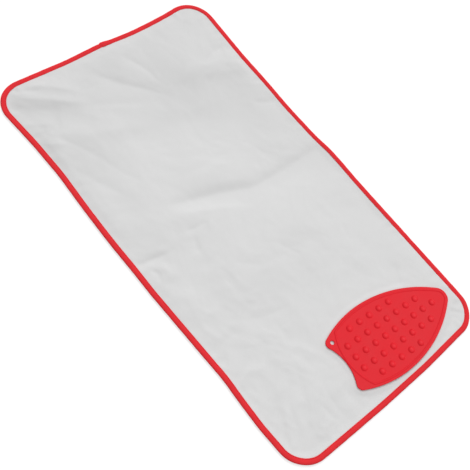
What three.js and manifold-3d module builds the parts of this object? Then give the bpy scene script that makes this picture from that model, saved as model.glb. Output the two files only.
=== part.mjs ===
// An ironing pad for a table top: a thin padded mat, bound all round with a folded tape,
// and a loose moulded rest on which the hot iron stands.
// Millimetres, +Z up. The origin is on the table under the middle of the mat.
// X runs along the mat, and the iron rest lies near its +X end.
import * as THREE from "three";
import { mergeVertices } from "three/addons/utils/BufferGeometryUtils.js";
import Module from "manifold-3d";

// Outline of the mat
const matLength = 900;
const matWidth = 500;
const matCornerRadius = 57;

// Cloth layers of the mat, from the table up
const backingThickness = 0.5;
const waddingThickness = 3.4;
const faceThickness = 0.5;
const layerGap = 0.3; // air between two layers, and between a layer and the tape
const waddingSqueezed = 0.5; // thickness of the wadding inside the binding
const swellWidth = 14; // width over which the layers open from the binding to full thickness

// Binding: one tape, folded over the edges of the layers, with its ends lapped
const tapeThickness = 0.7;
const bindingWidth = 11; // from the edge of the mat to the edge of each flap
const lapPlace = 2; // the tape's cut end, measured from the middle of the -X end of the mat
const lapLength = 24; // how far the tape's two ends overlap
const lapRise = 0.6; // height of the overlap above the single tape
const lapRunOut = 8; // length of the slope from the overlap back down to the single tape

// Seam: a lockstitch through both flaps, with a thread on each side
const threadDiameter = 0.4;
const threadSeat = 0.1; // gap between a thread and the tape that it lies on
const seamMargin = 2; // from the edge of a flap to the seam

// Iron rest: place on the mat
const restFromEnd = 91; // from the +X end of the mat to the middle of the rest
const restFromSide = 167; // from the +Y side of the mat to the middle of the rest
const restTurn = 3.5; // degrees clockwise from square

// Iron rest: outline, with the tip at +Y in the rest's own frame
const restLength = 277;
const restWidth = 150;
const restWidestBehind = 38; // the widest place, behind the middle of the length
const restTipRadius = 21;
const earSpacing = 90; // between the centres of the two rounded ears at the tail
const earRadius = 11;
const tailHollow = 11.5; // depth of the hollow between the ears
const hangHoleDiameter = 8;
const hangHoleForward = 2.5; // from the centre of its ear towards the tip

// Iron rest: heights, rim and studs
const sheetThickness = 2.2;
const sheetRounding = 0.6;
const lipInset = 6.3; // from the outline to the middle of the raised lip
const lipWidth = 2.4;
const lipHeight = 0.8;
const lipRounding = 0.35;
const lipTailRadius = 108; // the lip crosses the tail on an arc that bows towards the hollow
const lipTailGap = 2.8; // from the deepest point of the hollow to the middle of the lip
const lipCornerRadius = 3;
const studPitchAlong = 25.5; // from row to row, along the rest
const studPitchAcross = 24; // between neighbours in a row
const studDiameter = 13;
const studHeight = 2.2;
const studsBehind = 2.8; // the stud grid's middle, behind the middle of the length
const studClear = 3.5; // least floor between a stud's foot and the middle of the lip
const rootDepth = 0.5; // how far the lip and the studs are rooted in the sheet

// Fineness of the curves
const cornerSteps = 8;
const noseSteps = 6;
const swellSteps = 4;
const threadSides = 6;
const facetError = 0.12; // widest gap between an arc of the rest and its chords
const roundingSteps = 2;
const studSides = 14;
const studSteps = 4;

// Colours and finishes
const finishes = {
  face_cloth: { color: 0xdadada, roughness: 0.62, metalness: 0.15 },
  wadding: { color: 0xeeece6, roughness: 1.0, metalness: 0.0 },
  backing_cloth: { color: 0xd2d0cb, roughness: 0.95, metalness: 0.0 },
  edge_binding: { color: 0xd7373c, roughness: 0.85, metalness: 0.0 },
  needle_thread: { color: 0xc8323a, roughness: 0.7, metalness: 0.0 },
  bobbin_thread: { color: 0xc8323a, roughness: 0.7, metalness: 0.0 },
  iron_rest: { color: 0xe2343e, roughness: 0.55, metalness: 0.0 },
};

const wasm = await Module();
wasm.setup();

// Heights inside the binding: a thread below, the lower flap, the layers and the upper flap
const flapBottom = threadDiameter + threadSeat;
const backingAtEdge = flapBottom + tapeThickness + layerGap;
const waddingAtEdge = backingAtEdge + backingThickness + layerGap;
const faceAtEdge = waddingAtEdge + waddingSqueezed + layerGap;
const flapTop = faceAtEdge + faceThickness + layerGap + tapeThickness;

// Heights in the open field of the mat, which rests on the table
const waddingInField = backingThickness + layerGap;
const faceInField = waddingInField + waddingThickness + layerGap;
const fieldTop = faceInField + faceThickness;

// Insets from the edge of the mat
const noseDepth = (flapTop - flapBottom) / 2;
const seamInset = bindingWidth - seamMargin;

// Places along the outline of the mat: a point on the edge, the way in from it,
// and how far the tape's overlap lifts the upper flap there.
function stationsRoundMat() {
  const stations = [];
  const reachX = matLength / 2 - matCornerRadius;
  const reachY = matWidth / 2 - matCornerRadius;
  const corners = [[1, 1], [-1, 1], [-1, -1], [1, -1]];
  corners.forEach(([sideX, sideY], corner) => {
    for (let step = 0; step <= cornerSteps; step += 1) {
      const angle = ((corner + step / cornerSteps) * Math.PI) / 2;
      const out = new THREE.Vector2(Math.cos(angle), Math.sin(angle));
      const edge = new THREE.Vector2(sideX * reachX, sideY * reachY);
      edge.addScaledVector(out, matCornerRadius);
      stations.push({ edge, inward: out.clone().negate(), rise: 0 });
    }
    if (sideX < 0 && sideY > 0) {
      stations.push(...lapStations());
    }
  });
  return stations;
}

// The overlap of the tape: a slope up to it, its length, and the blunt cut end.
function lapStations() {
  const inward = new THREE.Vector2(1, 0);
  const places = [
    [lapPlace + lapLength + lapRunOut, 0],
    [lapPlace + lapLength, lapRise],
    [lapPlace, lapRise],
    [lapPlace - lapRise, 0],
  ];
  return places.map(([y, rise]) => ({ edge: new THREE.Vector2(-matLength / 2, y), inward, rise }));
}

// A point at an inset and a height beside one station.
function pointAt(station, inset, height) {
  const place = station.edge.clone().addScaledVector(station.inward, inset);
  return [place.x, place.y, height];
}

function geometryOf(vertices, triangles) {
  const geometry = new THREE.BufferGeometry();
  geometry.setAttribute("position", new THREE.Float32BufferAttribute(vertices.flat(), 3));
  geometry.setIndex(triangles.flat());
  geometry.computeVertexNormals();
  return geometry;
}

// A closed loop swept round the mat. The section lists [inset, height] pairs, and its
// outside runs from the underside round the edge of the mat to the top.
function sweepRoundMat(sectionAt) {
  const stations = stationsRoundMat();
  const sections = stations.map((station) => sectionAt(station.rise));
  const size = sections[0].length;
  const vertices = [];
  const triangles = [];
  stations.forEach((station, s) => {
    const next = ((s + 1) % stations.length) * size;
    sections[s].forEach(([inset, height], p) => {
      vertices.push(pointAt(station, inset, height));
      const q = (p + 1) % size;
      const here = s * size;
      triangles.push([here + p, next + p, next + q]);
      triangles.push([here + p, next + q, here + q]);
    });
  });
  return geometryOf(vertices, triangles);
}

// One soft layer: squeezed inside the binding, then swelling to its full height.
function softLayer(bottomAtEdge, topAtEdge, bottomInField, topInField) {
  const stations = stationsRoundMat();
  const count = stations.length;
  const insets = [noseDepth];
  for (let step = 0; step <= swellSteps; step += 1) {
    insets.push(bindingWidth + (swellWidth * step) / swellSteps);
  }
  const swellAt = (inset) => THREE.MathUtils.smoothstep(inset, bindingWidth, bindingWidth + swellWidth);
  const vertices = [];
  const triangles = [];
  const addSide = (atEdge, inField, facesUp) => {
    const first = vertices.length;
    for (const inset of insets) {
      const height = THREE.MathUtils.lerp(atEdge, inField, swellAt(inset));
      stations.forEach((station) => vertices.push(pointAt(station, inset, height)));
    }
    const middle = vertices.length;
    vertices.push([0, 0, inField]);
    const addFace = (a, b, c) => triangles.push(facesUp ? [a, b, c] : [a, c, b]);
    for (let s = 0; s < count; s += 1) {
      const t = (s + 1) % count;
      for (let ring = 0; ring + 1 < insets.length; ring += 1) {
        const outer = first + ring * count;
        const inner = outer + count;
        addFace(outer + s, outer + t, inner + t);
        addFace(outer + s, inner + t, inner + s);
      }
      const last = first + (insets.length - 1) * count;
      addFace(last + s, last + t, middle);
    }
    return first;
  };
  const lower = addSide(bottomAtEdge, bottomInField, false);
  const upper = addSide(topAtEdge, topInField, true);
  for (let s = 0; s < count; s += 1) {
    const t = (s + 1) % count;
    triangles.push([lower + s, lower + t, upper + t]);
    triangles.push([lower + s, upper + t, upper + s]);
  }
  return geometryOf(vertices, triangles);
}

// Half round the folded edge of the tape, from its underside to its top.
function noseArc(depth, inset, bottom, top) {
  const middle = (bottom + top) / 2;
  const arc = [];
  for (let step = 0; step <= noseSteps; step += 1) {
    const angle = Math.PI * (step / noseSteps - 0.5);
    arc.push([inset + depth * (1 - Math.cos(angle)), middle + (top - middle) * Math.sin(angle)]);
  }
  return arc;
}

// The folded tape: the outside from the lower flap to the upper one, then back along the inside.
function bindingSection(rise) {
  const outside = noseArc(noseDepth, 0, flapBottom, flapTop + rise);
  const inside = noseArc(
    noseDepth - tapeThickness, tapeThickness, flapBottom + tapeThickness, flapTop - tapeThickness,
  );
  return [
    [bindingWidth, flapBottom],
    ...outside,
    [bindingWidth, flapTop + rise],
    [bindingWidth, flapTop - tapeThickness],
    ...inside.reverse(),
    [bindingWidth, flapBottom + tapeThickness],
  ];
}

// A round thread at the seam, centred at a height.
function threadSection(height) {
  const section = [];
  for (let side = 0; side < threadSides; side += 1) {
    const angle = (2 * Math.PI * side) / threadSides;
    const inset = seamInset + (threadDiameter / 2) * Math.sin(angle);
    section.push([inset, height - (threadDiameter / 2) * Math.cos(angle)]);
  }
  return section.reverse();
}

// Ends of the iron rest's outline, in its own frame
const tip = { x: 0, y: restLength / 2 - restTipRadius, radius: restTipRadius };
const ear = { x: earSpacing / 2, y: earRadius - restLength / 2, radius: earRadius };

function angleTo(from, to) {
  return Math.atan2(to.y - from.y, to.x - from.x);
}

// The circle of a long side: it is upright at the widest place and runs into a round end.
function sideCircle(end) {
  const across = restWidth / 2 - end.x;
  const along = end.y + restWidestBehind;
  const radius = (across ** 2 + along ** 2 - end.radius ** 2) / (2 * (across - end.radius));
  return { x: restWidth / 2 - radius, y: -restWidestBehind, radius };
}

const frontSide = sideCircle(tip);
const rearSide = sideCircle(ear);
const hollowFloor = tailHollow - restLength / 2;

// The circle of the hollow tail, which runs into both ears.
function tailCircle() {
  const drop = ear.y - hollowFloor;
  const radius = (ear.x ** 2 + drop ** 2 - ear.radius ** 2) / (2 * (ear.radius - drop));
  return { x: 0, y: hollowFloor - radius, radius };
}

// The circle that rounds the corner inside two others, left of the way from the first to the second.
function cornerCircle(first, second, radius) {
  const reachFirst = first.radius - radius;
  const reachSecond = second.radius - radius;
  const distance = Math.hypot(second.x - first.x, second.y - first.y);
  const along = (reachFirst ** 2 - reachSecond ** 2 + distance ** 2) / (2 * distance);
  const across = Math.sqrt(reachFirst ** 2 - along ** 2);
  const toSecond = angleTo(first, second);
  return {
    x: first.x + along * Math.cos(toSecond) - across * Math.sin(toSecond),
    y: first.y + along * Math.sin(toSecond) + across * Math.cos(toSecond),
    radius,
  };
}

// The front of the right half, from the widest place to the tip.
function frontArcs() {
  const turn = angleTo(frontSide, tip);
  return [
    { circle: frontSide, from: 0, to: turn },
    { circle: tip, from: turn, to: Math.PI / 2 },
  ];
}

// The right half of the outline, from the middle of the tail to the tip.
function outlineArcs() {
  const tail = tailCircle();
  const leave = angleTo(tail, ear);
  const join = angleTo(rearSide, ear);
  return [
    { circle: tail, from: Math.PI / 2, to: leave, hollow: true },
    { circle: ear, from: leave - Math.PI, to: join },
    { circle: rearSide, from: join, to: 0 },
    ...frontArcs(),
  ];
}

// The lip's outer line: the outline moved in, closed by an arc across the tail.
function lipArcs() {
  const side = { ...rearSide, radius: rearSide.radius - lipInset };
  const tail = { x: 0, y: hollowFloor + lipTailGap + lipTailRadius, radius: lipTailRadius };
  const corner = cornerCircle(tail, side, lipCornerRadius);
  const leave = angleTo(tail, corner);
  const join = angleTo(side, corner);
  const front = frontArcs().map((arc) => ({
    ...arc,
    circle: { ...arc.circle, radius: arc.circle.radius - lipInset },
  }));
  return [
    { circle: tail, from: -Math.PI / 2, to: leave },
    { circle: corner, from: leave, to: join },
    { circle: side, from: join, to: 0 },
    ...front,
  ];
}

// The points of a closed line whose right half is given, moved in by an inset.
function contourPoints(rightHalf, inset) {
  const leftHalf = rightHalf.map((arc) => ({
    circle: { ...arc.circle, x: -arc.circle.x },
    from: Math.PI - arc.to,
    to: Math.PI - arc.from,
    hollow: arc.hollow,
  }));
  const points = [];
  for (const arc of [...rightHalf, ...leftHalf.reverse()]) {
    const { x, y } = arc.circle;
    const radius = arc.circle.radius + (arc.hollow ? inset : -inset);
    const stepAngle = 2 * Math.acos(1 - facetError / radius);
    const steps = Math.ceil(Math.abs(arc.to - arc.from) / stepAngle);
    const curve = new THREE.EllipseCurve(x, y, radius, radius, arc.from, arc.to, Boolean(arc.hollow));
    points.push(...curve.getPoints(steps).slice(0, -1)); // the next arc starts where this one ends
  }
  return points;
}

function solidFrom(geometry) {
  const bare = geometry.clone();
  bare.deleteAttribute("normal");
  bare.deleteAttribute("uv");
  const merged = mergeVertices(bare);
  const vertProperties = merged.attributes.position.array;
  const triVerts = new Uint32Array(merged.index.array);
  return new wasm.Manifold(new wasm.Mesh({ numProp: 3, vertProperties, triVerts }));
}

function geometryFrom(solid) {
  const mesh = solid.getMesh();
  const geometry = new THREE.BufferGeometry();
  geometry.setAttribute("position", new THREE.BufferAttribute(mesh.vertProperties, 3));
  geometry.setIndex(new THREE.BufferAttribute(mesh.triVerts, 1));
  geometry.computeVertexNormals();
  return geometry;
}

// A flat shape of a given height with rounded edges, standing on a given level.
function roundedPlate(shape, level, height, rounding) {
  const plate = new THREE.ExtrudeGeometry(shape, {
    depth: height - 2 * rounding,
    bevelThickness: rounding,
    bevelSize: rounding,
    bevelOffset: -rounding,
    bevelSegments: roundingSteps,
  });
  return solidFrom(plate.translate(0, 0, level + rounding));
}

// The rest's base sheet, with the hanging hole in its left ear.
function restSheet() {
  const shape = new THREE.Shape(contourPoints(outlineArcs(), 0));
  const hole = new THREE.Path();
  hole.absarc(-ear.x, ear.y + hangHoleForward, hangHoleDiameter / 2, 0, 2 * Math.PI, true);
  shape.holes.push(hole);
  return roundedPlate(shape, 0, sheetThickness, sheetRounding);
}

// The raised lip that keeps the iron on the rest.
function restLip() {
  const shape = new THREE.Shape(contourPoints(lipArcs(), -lipWidth / 2));
  shape.holes.push(new THREE.Path(contourPoints(lipArcs(), lipWidth / 2)));
  return roundedPlate(shape, sheetThickness - rootDepth, lipHeight + rootDepth, lipRounding);
}

// One dome, the cap of a ball, with its root in the sheet.
function studGeometry() {
  const radius = studDiameter / 2;
  const ballRadius = (radius ** 2 + studHeight ** 2) / (2 * studHeight);
  const spread = Math.asin(radius / ballRadius);
  const profile = [new THREE.Vector2(0, -rootDepth)];
  profile.push(new THREE.Vector2(radius, -rootDepth));
  for (let step = 0; step < studSteps; step += 1) {
    const angle = spread * (1 - step / studSteps);
    const height = studHeight - ballRadius * (1 - Math.cos(angle));
    profile.push(new THREE.Vector2(ballRadius * Math.sin(angle), height));
  }
  profile.push(new THREE.Vector2(0, studHeight));
  return new THREE.LatheGeometry(profile, studSides).rotateX(Math.PI / 2);
}

// How far a point of the rest lies inside the middle of the lip.
function insideLip(x, y) {
  const arcs = lipArcs();
  const tail = arcs[0].circle;
  const within = (circle) => circle.radius - Math.hypot(Math.abs(x) - circle.x, y - circle.y);
  const sides = arcs.slice(2).map((arc) => arc.circle);
  const [rear, front, nose] = sides.map(within);
  const side = y < -restWidestBehind ? rear : front;
  const end = y > tip.y ? nose : Infinity;
  const back = y < tail.y ? within(tail) : Infinity;
  return Math.min(side, end, back);
}

// The places on the grid where a stud's foot stays clear of the lip.
function studPlaces() {
  const places = [];
  const reach = Math.ceil(restLength / Math.min(studPitchAlong, studPitchAcross));
  for (let row = -reach; row <= reach; row += 1) {
    for (let column = -reach; column <= reach; column += 1) {
      const x = column * studPitchAcross;
      const y = row * studPitchAlong - studsBehind;
      if (insideLip(x, y) >= studDiameter / 2 + studClear) {
        places.push([x, y]);
      }
    }
  }
  return places;
}

function ironRestGeometry() {
  const stud = studGeometry();
  let solid = restSheet().add(restLip());
  for (const [x, y] of studPlaces()) {
    solid = solid.add(solidFrom(stud.clone().translate(x, y, sheetThickness)));
  }
  return geometryFrom(solid);
}

function namedMesh(name, geometry) {
  const mesh = new THREE.Mesh(geometry, new THREE.MeshStandardMaterial(finishes[name]));
  mesh.name = name;
  return mesh;
}

// The mat: three layers, the tape round them and the two threads of its seam
function makeMat() {
  const backing = softLayer(backingAtEdge, backingAtEdge + backingThickness, 0, backingThickness);
  const wadding = softLayer(
    waddingAtEdge, waddingAtEdge + waddingSqueezed, waddingInField, waddingInField + waddingThickness,
  );
  const face = softLayer(faceAtEdge, faceAtEdge + faceThickness, faceInField, fieldTop);
  const binding = sweepRoundMat(bindingSection);
  const needleHeight = flapTop + threadSeat + threadDiameter / 2;
  const bobbinHeight = flapBottom - threadSeat - threadDiameter / 2;
  const needle = sweepRoundMat((rise) => threadSection(needleHeight + rise));
  const bobbin = sweepRoundMat(() => threadSection(bobbinHeight));
  const mat = new THREE.Group();
  mat.add(namedMesh("backing_cloth", backing));
  mat.add(namedMesh("wadding", wadding));
  mat.add(namedMesh("face_cloth", face));
  mat.add(namedMesh("edge_binding", binding));
  mat.add(namedMesh("needle_thread", needle));
  mat.add(namedMesh("bobbin_thread", bobbin));
  return mat;
}

// The iron rest, turned a little, lying on the face cloth
function makeRest() {
  const rest = new THREE.Group();
  rest.add(namedMesh("iron_rest", ironRestGeometry()));
  rest.position.set(matLength / 2 - restFromEnd, matWidth / 2 - restFromSide, fieldTop + layerGap);
  rest.rotation.z = -THREE.MathUtils.degToRad(restTurn);
  return rest;
}

const ironingPad = new THREE.Group();
ironingPad.add(makeMat());
ironingPad.add(makeRest());

export default ironingPad;
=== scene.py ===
# %% [markdown]
# # A table-top ironing pad
# The object is a thin padded mat with a red bound edge, and a loose rest of red rubber for the hot iron.
# The CAD model gives every piece its size and its place. This lesson dresses it: each CAD solid is
# replaced by a piece with the folds, stitches and finish of the real one, in the same frame, in metres.

# %% Load the frame
import math

import bpy
import numpy as np
from mathutils import Matrix, Vector


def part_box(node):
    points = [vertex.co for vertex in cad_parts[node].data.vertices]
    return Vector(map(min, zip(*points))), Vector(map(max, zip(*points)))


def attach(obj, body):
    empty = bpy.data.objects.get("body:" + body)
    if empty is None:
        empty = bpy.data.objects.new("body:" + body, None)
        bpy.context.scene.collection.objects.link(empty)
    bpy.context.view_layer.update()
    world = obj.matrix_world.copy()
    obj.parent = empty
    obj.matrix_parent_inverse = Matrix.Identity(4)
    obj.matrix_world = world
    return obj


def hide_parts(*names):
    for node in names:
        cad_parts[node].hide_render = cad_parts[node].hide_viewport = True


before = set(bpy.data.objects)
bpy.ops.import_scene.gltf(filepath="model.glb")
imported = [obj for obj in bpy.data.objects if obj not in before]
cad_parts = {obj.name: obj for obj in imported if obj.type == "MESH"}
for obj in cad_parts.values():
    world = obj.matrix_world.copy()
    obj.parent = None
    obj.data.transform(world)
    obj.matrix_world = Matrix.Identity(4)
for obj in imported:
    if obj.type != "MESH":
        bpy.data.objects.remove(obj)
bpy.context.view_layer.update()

MM = 0.001
bpy.ops.object.select_all(action="DESELECT")

# %% [markdown]
# ## Small tools for every piece
# Most pieces here start as a grid or a ring from the Add menu, whose points are then moved to where the
# real surface is. Two helpers read and write those points as one array, which is far quicker than a loop.
# The others do what the hand does often: take one piece, edit it, or add a modifier and apply it.


# %% Read, move and edit
def points_of(piece):
    """The places of a piece's points, one row of x, y, z each."""
    points = np.empty(3 * len(piece.data.vertices))
    piece.data.vertices.foreach_get("co", points)
    return points.reshape(-1, 3)


def move_points(piece, points):
    """Puts a piece's points at these places."""
    piece.data.vertices.foreach_set("co", np.ravel(points))
    piece.data.update()


def take(piece):
    """Makes this the only selected piece."""
    bpy.ops.object.select_all(action="DESELECT")
    bpy.context.view_layer.objects.active = piece
    piece.select_set(True)


def edit(piece):
    """Goes into edit mode on one piece, with all of it selected."""
    take(piece)
    bpy.ops.object.mode_set(mode="EDIT")
    bpy.ops.mesh.select_all(action="SELECT")


def leave_edit():
    """Goes back to object mode."""
    bpy.ops.object.mode_set(mode="OBJECT")


def shape_with(piece, kind, **settings):
    """Adds a modifier to a piece, sets it, and applies it."""
    take(piece)
    bpy.ops.object.modifier_add(type=kind)
    modifier = piece.modifiers[-1]
    for name, value in settings.items():
        setattr(modifier, name, value)
    bpy.ops.object.modifier_apply(modifier=modifier.name)


def name_new(name):
    """Names the piece that an Add operator has just made."""
    bpy.context.object.name = bpy.context.object.data.name = name
    return bpy.context.object


def ease(low, high, value):
    """0 up to low, 1 from high on, and a soft slope between."""
    t = np.clip((value - low) / (high - low), 0, 1)
    return t * t * (3 - 2 * t)


print("tools ready")

# %% [markdown]
# ## The line of the edge
# Everything at the edge of the mat follows one line: the cut of the cloth, the tape and the stitches.
# The line is a rectangle with round corners. A point on it is known by its run, the way along the edge
# from the middle of the +X end, and a point of the mat by that run and its inset from the edge.

# %% Sizes of the mat
_, tape_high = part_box("edge_binding")
HALF_LENGTH, HALF_WIDTH = tape_high.x, tape_high.y
CORNER_RADIUS = 57 * MM
SIDE_RUN = HALF_WIDTH - CORNER_RADIUS
CORNER_RUN = CORNER_RADIUS * math.pi / 2
QUARTER_RUN = SIDE_RUN + CORNER_RUN + HALF_LENGTH - CORNER_RADIUS
WHOLE_RUN = 4 * QUARTER_RUN
print("edge", round(WHOLE_RUN, 3), "m round")


# %% From a run to a place, and back
def edge_at(run):
    """The places on the edge at these runs, and the outward directions there."""
    run = np.asarray(run) % WHOLE_RUN
    quarter = np.minimum(run // QUARTER_RUN, 3).astype(int)
    part = np.where(quarter % 2, (quarter + 1) * QUARTER_RUN - run, run - quarter * QUARTER_RUN)
    turn = np.clip((part - SIDE_RUN) / CORNER_RADIUS, 0, math.pi / 2)
    past = np.maximum(part - SIDE_RUN - CORNER_RUN, 0)
    x = HALF_LENGTH - CORNER_RADIUS + CORNER_RADIUS * np.cos(turn) - past
    y = np.minimum(part, SIDE_RUN) + CORNER_RADIUS * np.sin(turn)
    signs = np.array([[1, 1], [-1, 1], [-1, -1], [1, -1]])[quarter]
    return np.stack([x, y], -1) * signs, np.stack([np.cos(turn), np.sin(turn)], -1) * signs


def edge_place(x, y):
    """The run of the edge point nearest to each x, y, the inset from it, and the outward direction."""
    past_x = np.abs(x) - HALF_LENGTH + CORNER_RADIUS
    past_y = np.abs(y) - HALF_WIDTH + CORNER_RADIUS
    corner = (past_x > 0) & (past_y > 0)
    at_end = past_x > past_y
    turn = np.where(corner, np.arctan2(past_y, past_x), np.where(at_end, 0, math.pi / 2))
    inset = CORNER_RADIUS - np.where(corner, np.hypot(past_x, past_y), np.maximum(past_x, past_y))
    along_end = SIDE_RUN + np.minimum(past_y, 0)
    along_side = SIDE_RUN + CORNER_RUN + np.maximum(-past_x, 0)
    part = np.where(corner, SIDE_RUN + CORNER_RADIUS * turn, np.where(at_end, along_end, along_side))
    right, far = x >= 0, y >= 0
    run = np.select([right & far, ~right & far, ~right & ~far],
                    [part, 2 * QUARTER_RUN - part, 2 * QUARTER_RUN + part], 4 * QUARTER_RUN - part)
    outward = np.stack([np.cos(turn) * np.where(right, 1, -1), np.sin(turn) * np.where(far, 1, -1)], -1)
    return run, inset, outward


TEST_POINTS = 50
test_run = np.linspace(0, WHOLE_RUN, TEST_POINTS, endpoint=False)
test_place, _ = edge_at(test_run)
print("edge line agrees to", round(np.abs(edge_place(*test_place.T)[0] - test_run).max() / MM, 4), "mm")

# %% [markdown]
# ## A sewn edge isn't straight
# The mat was stored folded, and its tape was eased round by hand, so its outline wanders by a few
# millimetres. The wander is given at places round the edge, as millimetres outward, and eased between
# them. It fades inward within the corner radius, and moves cloth, tape and stitches alike.

# %% Wander of the outline
WANDER = [  # x and y of the place on the edge, and how far the edge stands out there, in mm
    (450, 0, 1.6), (450, 80, 1.2), (450, 160, -2.6), (450, 190, -4.2), (433, 233, -5.0),
    (390, 250, -0.8), (250, 250, -0.4), (80, 250, 0.5), (40, 250, 2.4), (0, 250, 2.8),
    (-40, 250, -1.8), (-120, 250, -3.0), (-200, 250, 0), (-280, 250, 0.6), (-320, 250, 2.9),
    (-360, 250, 5.2), (-392, 250, 7.2), (-433, 233, 6.4), (-450, 192, -0.8), (-450, 160, -3.2),
    (-450, 120, -4.6), (-450, 80, -5.0), (-450, 40, -2.9), (-450, 0, 0.6), (-450, -80, -0.8),
    (-450, -160, 2.9), (-450, -192, 4.3), (-433, -233, 6.0), (-392, -250, 2.6), (-320, -250, -2.5),
    (-240, -250, -4.4), (-160, -250, -0.4), (-80, -250, 1.7), (0, -250, 0.9), (40, -250, 1.6),
    (120, -250, -0.4), (200, -250, -2.5), (240, -250, -3.9), (280, -250, -1.3), (340, -250, 1.0),
    (390, -250, -0.8), (433, -233, -3.0), (450, -192, -1.5), (450, -120, 0.2), (450, -40, 1.7),
]
EASING_RUN = 26 * MM
FINE_STEPS = 1320
WANDER_REACH = 0.95 * CORNER_RADIUS

wander_at = np.array(WANDER) * MM
wander_run, _, _ = edge_place(wander_at[:, 0], wander_at[:, 1])
by_run = np.argsort(wander_run)
fine_run = np.linspace(0, WHOLE_RUN, FINE_STEPS, endpoint=False)
fine_wander = np.interp(fine_run, wander_run[by_run], wander_at[by_run, 2], period=WHOLE_RUN)
window = np.hanning(2 * round(EASING_RUN / fine_run[1]) + 1)
fine_wander = np.pad(fine_wander, len(window) // 2, mode="wrap")
fine_wander = np.convolve(fine_wander, window / window.sum(), "valid")


def wander(run):
    """How far the edge stands out at these runs."""
    return np.interp(run, fine_run, fine_wander, period=WHOLE_RUN)


def settle(x, y):
    """Where a point of the drawn mat lies on the real one, whose edge wanders."""
    run, inset, outward = edge_place(x, y)
    shift = wander(run) * (1 - ease(0, WANDER_REACH, inset))
    return x + shift * outward[..., 0], y + shift * outward[..., 1]


print("edge wanders from", round(fine_wander.min() / MM, 1), "to", round(fine_wander.max() / MM, 1), "mm")

# %% [markdown]
# ## Where the iron rest lies
# The rest presses the cloth flat, so its outline is needed before the folds are made. It is drawn in
# its own frame, with the tip along +Y, as arcs that run into each other: two for each side, one for the
# tip, one for each ear and one for the hollow between the ears. A parallel line has the same arcs, with
# each radius less by the inset.

# %% Arcs of the rest
REST_PLACE = np.array([359, 83]) * MM
REST_TURN = math.radians(-3.5)
REST_HALF_WIDTH, WIDEST, HOLLOW_FLOOR = 75, -38, -127
TIP, EAR = (0, 117.5, 21), (45, -127.5, 11)  # x, y and radius in mm, as for every circle of the rest
ARC_STEP, LEAST_STEPS = 2.0, 4


def side_circle(end):
    """The circle of a long side: upright at the widest place, and running into a round end."""
    across, along = REST_HALF_WIDTH - end[0], end[1] - WIDEST
    radius = (across ** 2 + along ** 2 - end[2] ** 2) / (2 * (across - end[2]))
    return REST_HALF_WIDTH - radius, WIDEST, radius


def hollow_circle():
    """The circle of the hollow tail, which runs into both ears."""
    drop = EAR[1] - HOLLOW_FLOOR
    radius = (EAR[0] ** 2 + drop ** 2 - EAR[2] ** 2) / (2 * (EAR[2] - drop))
    return 0, HOLLOW_FLOOR - radius, radius


def bearing(first, second):
    """The direction from the middle of one circle to that of another, in degrees."""
    return math.degrees(math.atan2(second[1] - first[1], second[0] - first[0]))


FRONT_SIDE, REAR_SIDE, HOLLOW = side_circle(TIP), side_circle(EAR), hollow_circle()
FRONT_TO_TIP, EAR_TO_REAR = bearing(FRONT_SIDE, TIP), bearing(REAR_SIDE, EAR)
HOLLOW_TO_EAR = bearing(HOLLOW, EAR)
print("side radii", round(FRONT_SIDE[2]), "and", round(REAR_SIDE[2]), "mm")


# %% Draw the outline
def arc(circle, first, last, inset=0):
    """Points of an arc in mm, from angle first to last in degrees, without its last point."""
    x, y, radius = circle
    steps = max(LEAST_STEPS, round(abs(math.radians(last - first)) * (radius - inset) / ARC_STEP))
    angles = np.radians(np.linspace(first, last, steps, endpoint=False))
    return np.stack([x + (radius - inset) * np.cos(angles), y + (radius - inset) * np.sin(angles)], -1)


def side_to_tip(first, inset):
    """The +X side of the rest, from an angle on its rear arc to the middle of its tip."""
    return np.concatenate([
        arc(REAR_SIDE, first, 0, inset), arc(FRONT_SIDE, 0, FRONT_TO_TIP, inset),
        arc(TIP, FRONT_TO_TIP, 90, inset), [[0, TIP[1] + TIP[2] - inset]]])


def closed_line(half):
    """A closed line in metres, from its half on the +X side that starts and ends on the middle line."""
    return np.concatenate([half, half[-2:0:-1] * (-1, 1)]) * MM


rest_line = closed_line(np.concatenate([
    arc(HOLLOW, 90, HOLLOW_TO_EAR), arc(EAR, HOLLOW_TO_EAR - 180, EAR_TO_REAR),
    side_to_tip(EAR_TO_REAR, 0)]))
print("rest outline", len(rest_line), "points,", np.round(np.ptp(rest_line, 0) / MM, 1), "mm")


# %% Near a line
def line_place(x, y, line):
    """How far points lie to the left of a line of straight pieces, how far along it, and its length."""
    nearest = np.full(x.shape, np.inf)
    left, along, done = np.zeros(x.shape), np.zeros(x.shape), 0.0
    for (ax, ay), (bx, by) in zip(line[:-1], line[1:]):
        length = math.hypot(bx - ax, by - ay)
        ux, uy = (bx - ax) / length, (by - ay) / length
        t = np.clip((x - ax) * ux + (y - ay) * uy, 0, length)
        px, py = x - ax - t * ux, y - ay - t * uy
        distance = np.hypot(px, py)
        closer = distance < nearest
        nearest = np.where(closer, distance, nearest)
        left = np.where(closer, distance * np.sign(ux * py - uy * px), left)
        along = np.where(closer, done + t, along)
        done += length
    return left, along, done


PRESSED_REACH, PRESSED_RIM = 12 * MM, 1 * MM
REST_REACH = 0.2  # no point of the rest lies further than this from its place
LOOP_STEP = 3

rest_turn = np.array([[math.cos(REST_TURN), math.sin(REST_TURN)],
                      [-math.sin(REST_TURN), math.cos(REST_TURN)]])
rest_on_mat = rest_line @ rest_turn + REST_PLACE
rest_loop = np.concatenate([rest_on_mat[::LOOP_STEP], rest_on_mat[:1]])


def pressed(x, y):
    """1 under the iron rest, 0 a little way outside it."""
    near = np.hypot(x - REST_PLACE[0], y - REST_PLACE[1]) < REST_REACH
    share = np.zeros(x.shape)
    inside, _, _ = line_place(x[near], y[near], rest_loop)
    share[near] = ease(-PRESSED_REACH, -PRESSED_RIM, inside)
    return share


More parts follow.
